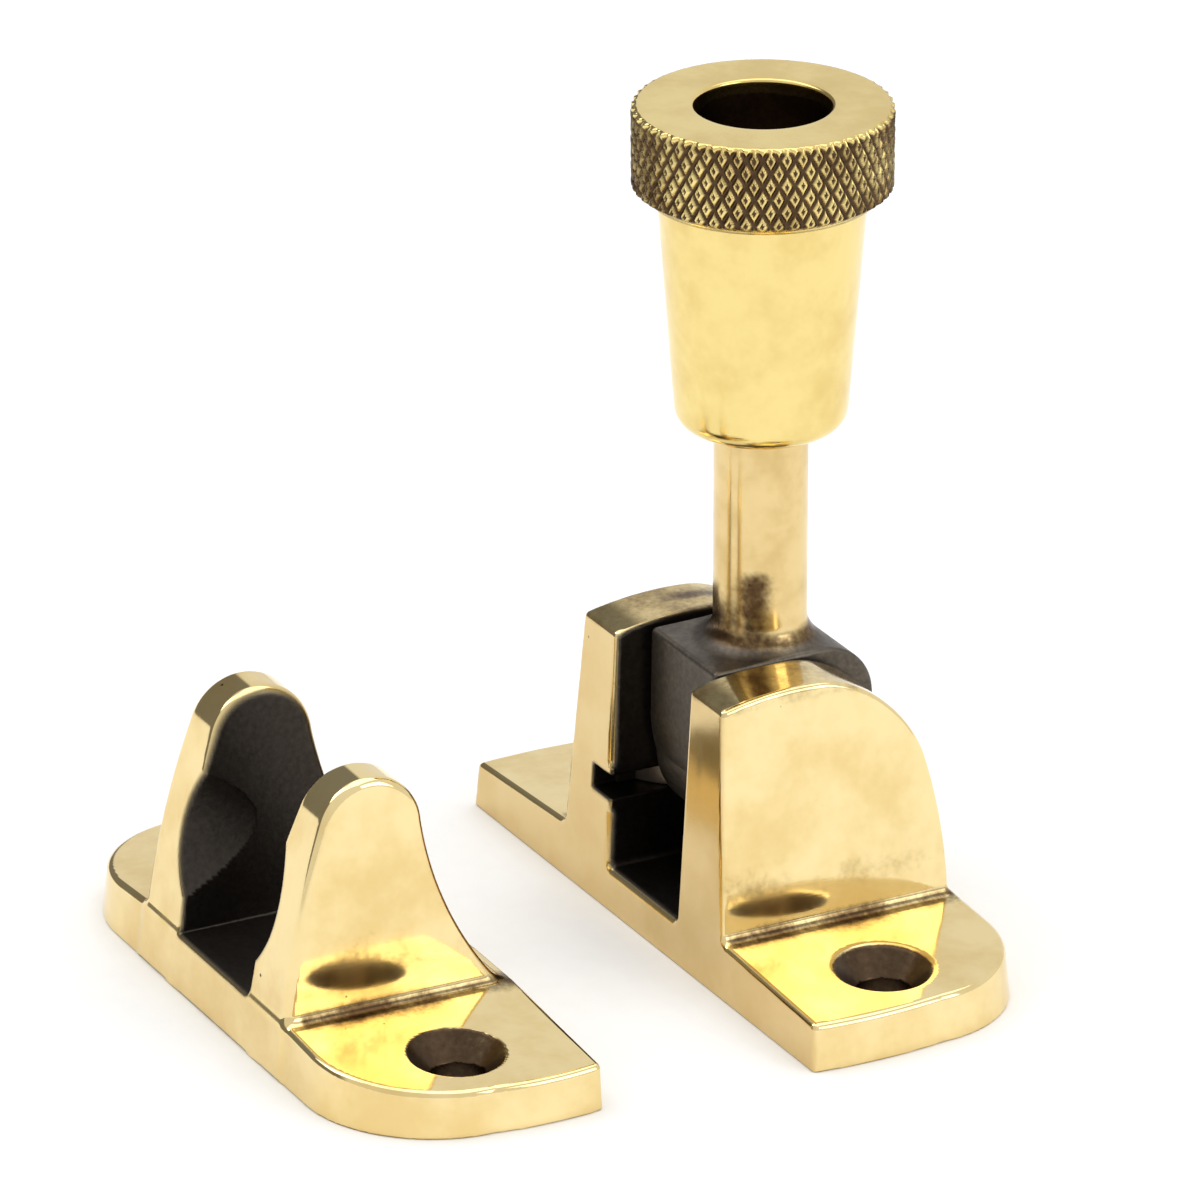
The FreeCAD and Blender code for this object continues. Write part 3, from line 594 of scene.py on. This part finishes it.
# %% [markdown]
# ## Where each casting is tarnished, and where dark reflections are painted
#
# The wheel reaches the outside faces. It misses the channel and the slot, which stay black, and it
# only half cleans the crease where a cheek meets the plate: a thin line is left in the crease itself
# and a film on the plate beside it. A faint cloud a few millimetres up the cheek is a painted dark
# reflection.

# %% Oxide along a crease
# The side of the arm and the nut that shows is turned this many degrees clockwise from +X. The painted shade and
# reflections on both are laid out from it.
VIEW_SIDE = 28.0


def crease_patina_and_reflection(x, z, foot, height):
    """Patina from the distance to the crease, a thin line in it and a film beside it, and above it a faint cloud
    of painted dark reflection.
    """
    out = np.abs(x) - foot
    up = z - height
    line = 0.75 * np.exp(-((np.hypot(out, up) / 0.9) ** 2)) * step(up, -0.9, -0.4)
    # Painted dark reflection: a faint cloud a few millimetres up the cheek.
    reflection_cloud = 0.34 * np.exp(-(((up - 3.6) / 2.4) ** 2)) * step(up, 0.2, 1.5)
    beside = 0.7 * np.exp(-((out / 2.2) ** 2)) * step(up, 0.6, 0.1) * step(up, -0.75, -0.4)
    return np.maximum(np.maximum(line, reflection_cloud), beside)


# %% The fastener casting
base, spots = cast("fastener_base", "fastener_casting", fastener_casting)
x, y, z = spots.T
outside = step(np.abs(x), 10.0, 11.5) * step(y, -9.5, -8.9)
sink = step(screw_hole(x, y, z), 0.12, 0.03)
channel = step(fastener_channel(x, y, z), 0.32, 0.08)
from_front = behind_front(y, z)
satin = 0.55 * step(from_front, 0.3, 0.05)
# A painted reflection: a dark spot on the right cheek's front face near its inner edge, where the keeper's dark
# seat is reflected.
near_edge = np.exp(-(((x - 8.4) / 0.9) ** 2) - ((z - 18.6) / 3.0) ** 2)
painted_reflection = 0.55 * near_edge * step(from_front, 0.3, 0.1)
# Painted dark reflection across the left cheek's crown.
left_top_reflection = 0.95 * step(z, 22.5, 23.3) * step(x, -7.0, -9.0) * step(x, -14.0, -6.5) * step(y, -9.0, 0.0)
# Darker along the inner halves of the cheek tops, towards the channel.
inner_top_darker = 0.7 * step(z, 22.5, 23.3) * step(np.abs(x), 8.5, 5.6) * step(y, -8.0, 0.0)
# Painted dark reflection, faint, on both cheek tops.
tops_reflection = 0.42 * step(z, 22.3, 23.2)
patina = crease_patina_and_reflection(x, z, CHEEK_FOOT, BASE_MIDDLE) * outside
for darkening in (painted_reflection, left_top_reflection, inner_top_darker, tops_reflection, 0.9 * sink):
    patina = np.maximum(patina, darkening)
set_finish(base, patina=patina, unpolished=np.maximum(channel, 0.4 * sink), satin=satin)
finish_piece(base, cast_brass, "fastener_base", "fastener")


# %% The keeper casting
def keeper_local(row):
    """Row metres to the keeper's own millimetres, with its fork's nose at y = 0."""
    return in_keeper(row) / MM + np.array([0, KEEPER_SETBACK, 0])


def keeper_row(local):
    """The keeper's own millimetres back to row metres."""
    across, along, up = ((local - np.array([0, KEEPER_SETBACK, 0])) * MM).T
    flat = keeper_middle + across[:, None] * keeper_across + along[:, None] * keeper_along
    return np.column_stack([flat[:, :2], up])


keeper, spots = cast("keeper", "keeper_casting", keeper_casting, keeper_local, keeper_row)
x, y, z = spots.T
slot, seat = keeper_slot(x, y, z)
outside = step(np.abs(x), 10.0, 11.5) * step(y, 0.9, 1.6)
sink = step(screw_hole(x, y - KEEPER_SETBACK, z), 0.12, 0.03)
dark = np.maximum(step(slot, 0.45, 0.0), step(seat, 0.5, 0.0) * step(np.abs(x), 11.0, 10.0))
satin = 0.1 * step(y - NOSE_FOOT[0] - 0.22 * (z - KEEPER_MIDDLE), 0.9, 0.3)
patina = np.maximum(crease_patina_and_reflection(x, z, FORK_FOOT, KEEPER_MIDDLE) * outside, 0.9 * sink)
set_finish(keeper, patina=patina, unpolished=np.maximum(dark, 0.4 * sink), satin=satin)
finish_piece(keeper, cast_brass, "keeper", "keeper")

# %% The swing arm
arm, spots = cast("swing_arm", "swing_arm_casting", swing_arm)
x, y, z = spots.T
on_block = step(z, BLOCK_TOP + 0.6, BLOCK_TOP + 0.1)
facing = np.degrees(np.arctan2(y - PIVOT_ALONG, x)) + VIEW_SIDE
# Painted dark reflections on the lower shank: a streak near the middle of the side that faces the camera, and a
# patch on its left.
front_dark_reflection = 0.8 * step(z, BLOCK_TOP + 7.6, BLOCK_TOP + 5.8) * np.exp(-(((facing + 8) / 26) ** 2))
left_dark_reflection = 0.6 * step(z, BLOCK_TOP + 7.5, BLOCK_TOP + 2.5) * step(facing, 25.0, -25.0)
root_film = 0.75 * step(z, BLOCK_TOP + 2.2, BLOCK_TOP + 0.8)
patina = np.maximum(np.maximum(front_dark_reflection, left_dark_reflection), root_film)
satin = 0.25 * step(z, SHOULDER + 1, SHOULDER)
set_finish(arm, patina=patina, unpolished=on_block * 0.9, satin=satin)
finish_piece(arm, arm_brass, "swing_arm", "arm")


# %% [markdown]
# ## The knurled thumb nut
#
# The nut is turned from bar on a lathe, so its shape is one outline spun about the stem. The
# collar's grip is rolled on by two wheels that press spiral grooves at opposite slants; where the
# spirals cross they leave rows of small pyramids. Here the outline is a list of radii and heights,
# and the groove depth is a formula of angle and height, so the knurl is real geometry.

# %% The nut's surface
KNURLS = 50
KNURL_RISE = 2.13 * MM
KNURL_DEPTH = 0.42 * MM
STEPS = 12


def arc(centre, radius, start, end, count):
    """Points of an arc, centre and radius in metres, angles in degrees."""
    angles = np.radians(np.linspace(start, end, count))
    return [(centre[0] + radius * math.cos(a), centre[1] + radius * math.sin(a)) for a in angles]


def straight(start, end, count):
    """Evenly spaced points from start up to, but not including, end."""
    start, end = np.array(start), np.array(end)
    return [tuple(start + (end - start) * share / count) for share in range(count)]


def spun(outline, displace):
    """Closed surface of revolution: point = (r cos a, r sin a, height) along the outline, with r
    changed by displace(angle, height, r), and the last outline point joined to the first."""
    count = KNURLS * STEPS
    angle = np.arange(count) * TURN / count
    radius, height = np.array(outline).T
    grid_angle, grid_height = np.meshgrid(angle, height)
    grid_radius, share = displace(grid_angle, grid_height, np.repeat(radius[:, None], count, axis=1))
    places = np.stack(
        [grid_radius * np.cos(grid_angle), pivot[1] + grid_radius * np.sin(grid_angle), grid_height],
        axis=-1,
    )
    rows = len(outline)
    first = np.arange(rows)[:, None] * count + np.arange(count)[None, :]
    right = np.roll(first, -1, axis=1)
    above = np.roll(first, -1, axis=0)
    opposite = np.roll(right, -1, axis=0)
    faces = np.stack([first, right, opposite, above], axis=-1).reshape(-1, 4)
    return places.reshape(-1, 3), faces, share.reshape(-1)


def mesh_piece(name, places, faces):
    """A mesh object from arrays of vertices and quads."""
    mesh = bpy.data.meshes.new(name)
    mesh.from_pydata(places.tolist(), [], faces.tolist())
    mesh.update()
    mesh.shade_smooth()
    piece = bpy.data.objects.new(name, mesh)
    scene.collection.objects.link(piece)
    return piece


nut_bottom = nut_low[2]
nut_top = nut_high[2]
collar_radius = (nut_high[0] - nut_low[0]) / 2
collar_bottom = nut_top - 7.34 * MM
barrel_top_radius = 8.19 * MM
barrel_end_radius = 6.7 * MM
end_rounding = 1.8 * MM
bore_radius = 3.85 * MM
counterbore_radius = 5.375 * MM
web_top = nut_top - 10.3 * MM
web_bottom = nut_bottom + 10.3 * MM
thread_radius = 3.05 * MM
neck = 0.35 * MM
mouth = 0.2 * MM
rim = 0.25 * MM
chamfer = 0.35 * MM
collar_rows = int(round(STEPS * (nut_top - collar_bottom) / KNURL_RISE))

taper = (barrel_top_radius - barrel_end_radius) / (collar_bottom - nut_bottom)
rounding_centre = (barrel_end_radius + taper * end_rounding - end_rounding, nut_bottom + end_rounding)
outline = straight((bore_radius, web_bottom), (bore_radius, nut_bottom + mouth), 6)
outline += arc((bore_radius + mouth, nut_bottom + mouth), mouth, 180, 270, 4)
outline += straight((bore_radius + 2 * mouth, nut_bottom), (rounding_centre[0], nut_bottom), 4)
outline += arc(rounding_centre, end_rounding, 270, 356, 12)
barrel_foot = outline[-1]
outline += straight(barrel_foot, (barrel_top_radius - 0.01 * MM, collar_bottom - neck), 22)[1:]
outline += arc((barrel_top_radius + neck, collar_bottom - neck), neck, 180, 90, 5)
under_collar = (collar_radius - 0.9 * MM, collar_bottom)
outline += straight((barrel_top_radius + 1.4 * neck, collar_bottom), under_collar, 2)
outline += straight((collar_radius, collar_bottom), (collar_radius, nut_top), collar_rows)
outline += [(collar_radius - chamfer, nut_top - 0.02 * MM), (collar_radius - 0.5 * MM, nut_top)]
outline += straight((collar_radius - 0.8 * MM, nut_top), (counterbore_radius + rim, nut_top), 8)
outline += arc((counterbore_radius + rim, nut_top - rim), rim, 90, 180, 5)
outline += straight((counterbore_radius, nut_top - 2 * rim), (counterbore_radius, web_top), 10)
outline += straight((counterbore_radius, web_top), (thread_radius, web_top), 4)
outline += straight((thread_radius, web_top), (thread_radius, web_bottom), 4)
outline += straight((thread_radius, web_bottom), (bore_radius, web_bottom), 2)


def knurl(angle, height, radius):
    """Groove depth from the two spirals, pyramid = the smaller of the two triangle waves, cut
    back by the chamfers at both ends of the collar. Returns the radii and how deep each point is."""
    along = angle / TURN * KNURLS
    up = (height - collar_bottom) / KNURL_RISE
    waves = [1 - 2 * np.abs((along + side * up) % 1 - 0.5) for side in (1, -1)]
    peak = np.minimum(*waves)
    raised = np.clip(peak / 0.6, 0, 1)
    pit = step(peak, 0.58, 0.85) * 0.45
    cut = radius - KNURL_DEPTH * (1 - raised) - KNURL_DEPTH * pit
    foot = barrel_top_radius + 0.55 * MM + (height - collar_bottom) * 1.6
    lip = collar_radius - 0.3 * MM + (nut_top - height) * 1.4
    on_grip = (radius > collar_radius - 0.01 * MM) & (height > collar_bottom - 0.01 * MM)
    cut = np.minimum(np.minimum(cut, np.maximum(foot, collar_radius - 1.2 * MM)), lip)
    depth = np.where(on_grip, np.maximum(1 - raised, pit * 2.1), 0.0)
    return np.where(on_grip, cut, radius), depth


places, faces, depth = spun(outline, knurl)
nut = mesh_piece("thumb_nut_turned", places, faces)
x, y, z = places.T / MM
y = y - PIVOT_ALONG
from_axis = np.hypot(x, y)
inside = step(from_axis, 5.5, 5.4) * step(z, nut_top / MM - 0.4, nut_top / MM - 1.2)
low_inside = step(from_axis, 4.1, 3.9) * step(z, web_top / MM - 1, web_top / MM - 2)
# The grip keeps patina in its grooves. Its crests carry painted shade: brown round the sides, lighter on the side
# that faces the camera.
around = np.degrees(np.arctan2(y, x)) + VIEW_SIDE
lit_side = step(np.abs(around), 75.0, 20.0)
grip = step(from_axis, 9.0, 9.6) * step(z, nut_top / MM - 0.15, nut_top / MM - 0.5)
patina = np.maximum(depth * 1.35, grip * (0.7 - 0.38 * lit_side)) * grip
patina = np.maximum(patina, inside)
neck_line = np.exp(-(((z - collar_bottom / MM) / 0.35) ** 2)) * step(from_axis, 9.0, 8.4)
patina = np.maximum(patina, 0.7 * neck_line)
dark = np.maximum(np.maximum(inside * 0.12, low_inside), step(depth, 0.6, 1.0) * grip * 0.4)
set_finish(nut, patina=patina, unpolished=dark, satin=np.zeros(len(z)))
finish_piece(nut, turned_brass, "thumb_nut", "nut")
print("nut", len(faces), "faces")


# %% [markdown]
# ## Steel parts
#
# The pin, the leaf spring and the stop screw are plain steel, dulled by oil and age. The washer is
# brass like the nut. They are small and mostly hidden, so the CAD shapes stay and only get a
# finish.

# %% Steel and the small parts
def dull_steel():
    """Steel with a thin brown-grey film, rougher in patches: dark, with a broken grey shine."""
    material, tree, shader = new_material("oiled_dull_steel")
    place = add(tree, "ShaderNodeTexCoord").outputs["Object"]
    darkening = blotches(tree, place, 1.5 * MM, detail=3.0)
    colour = mix_colours(tree, darkening, linear("#6f6a64"), linear("#4b4038"))
    tree.links.new(colour, shader.inputs["Base Color"])
    tree.links.new(ramp(tree, darkening, 0.3, 0.7, 0.28, 0.45), shader.inputs["Roughness"])
    shader.inputs["Metallic"].default_value = 1.0
    return material


steel = dull_steel()
finishes = {"pivot_pin": steel, "leaf_spring": steel, "stop_screw": steel, "stop_washer": turned_brass}
for node, finish in finishes.items():
    mesh = frame["nodes"][node].data
    mesh.materials.clear()
    mesh.materials.append(finish)
print("small parts", {node: finish.name for node, finish in finishes.items()})

# %% [markdown]
# ## Floor, light and camera
#
# Polished metal shows its surroundings more than itself. A white sweep under and behind the
# object, one wide soft light overhead and two smaller ones at the sides give long soft
# reflections. The camera is a long lens at a product photographer's distance.

# %% Floor
def floor_material():
    """Matt white paper: an even white with no shine that takes soft shadows."""
    material, tree, shader = new_material("matt_white_paper")
    place = add(tree, "ShaderNodeTexCoord").outputs["Object"]
    fibre = blotches(tree, place, 2 * MM)
    colour = mix_colours(tree, fibre, linear("#fbfbfb"), linear("#f6f6f6"))
    tree.links.new(colour, shader.inputs["Base Color"])
    shader.inputs["Roughness"].default_value = 0.9
    shader.inputs["Specular IOR Level"].default_value = 0.2
    return material


FLOOR_HALF = 3.0
corners = [(side * FLOOR_HALF, end * FLOOR_HALF, 0) for side, end in ((-1, -1), (1, -1), (1, 1), (-1, 1))]
floor = mesh_piece("floor", np.array(corners), np.array([[0, 1, 2, 3]]))
floor.data.materials.append(floor_material())
print("floor", 2 * FLOOR_HALF, "m wide")


# %% Lights
def soft_light(name, place, size, power, target=(0, 0, 0.02)):
    """A square area light of a size in metres, at a place, turned towards a point."""
    light = bpy.data.lights.new(name, "AREA")
    light.shape = "SQUARE"
    light.size = size
    light.energy = power
    lamp = bpy.data.objects.new(name, light)
    lamp.location = place
    lamp.rotation_euler = (Vector(target) - Vector(place)).to_track_quat("-Z", "Y").to_euler()
    scene.collection.objects.link(lamp)
    print(name, "light", size, "m wide", power, "W")


soft_light("overhead", (-0.1, 0.1, 0.9), 0.9, 2.85)
soft_light("left_side", (-0.5, -0.5, 0.85), 0.5, 2.0)
soft_light("right_side", (0.75, 0.42, 0.45), 0.5, 1.5)

# %% [markdown]
# The white sweep ends on the left, and the room past its edge is dimmer, up to about 40 degrees
# above the table. The rounded crowns show it as a dark band with one sharp end. The world's
# brightness falls there, by direction.

# %% World
WORLD_STRENGTH = 0.85
ROOM_DIMMING = 0.64
world = bpy.data.worlds.new("studio")
scene.world = world
world.use_nodes = True
sky = world.node_tree
direction = add(sky, "ShaderNodeTexCoord").outputs["Generated"]
height = add(sky, "ShaderNodeSeparateXYZ", {0: direction}).outputs["Z"]


def towards(axis):
    """How far a direction leans to an axis, as the cosine of the angle between them."""
    product = add(sky, "ShaderNodeVectorMath", {0: direction, 1: axis}, operation="DOT_PRODUCT")
    return product.outputs["Value"]


past_sweep = ramp(sky, towards((-0.342, -0.940, 0.0)), -0.03, 0.03)
leftwards = ramp(sky, towards((-0.940, -0.342, 0.0)), 0.45, 0.6)
low_down = ramp(sky, height, 0.72, 0.6)
dark_room = arithmetic(sky, "MULTIPLY", arithmetic(sky, "MULTIPLY", past_sweep, leftwards), low_down)
dimming = arithmetic(sky, "MULTIPLY", dark_room, ROOM_DIMMING)
strength = arithmetic(sky, "SUBTRACT", WORLD_STRENGTH, dimming)
background = sky.nodes["Background"]
background.inputs["Color"].default_value = linear("#ffffff")
sky.links.new(strength, background.inputs["Strength"])
scene.view_settings.view_transform = "Standard"
print("world strength", WORLD_STRENGTH, "less up to", ROOM_DIMMING, "in the dim room")

# %% Camera
lens = bpy.data.cameras.new("camera")
lens.sensor_width = 36.0
lens.lens = 329.0
lens.clip_end = 20.0
camera = bpy.data.objects.new("camera", lens)
aim = Vector((-2.66, -11.9, 28.26)) * MM
azimuth = math.radians(62.134)
elevation = math.radians(23.236)
reach = 857.1 * MM
outwards = Vector(
    (
        math.sin(azimuth) * math.cos(elevation),
        -math.cos(azimuth) * math.cos(elevation),
        math.sin(elevation),
    )
)
camera.location = aim + outwards * reach
camera.rotation_euler = (-outwards).to_track_quat("-Z", "Y").to_euler()
scene.collection.objects.link(camera)
scene.camera = camera
print("camera", reach, "m away, lens", lens.lens, "mm")
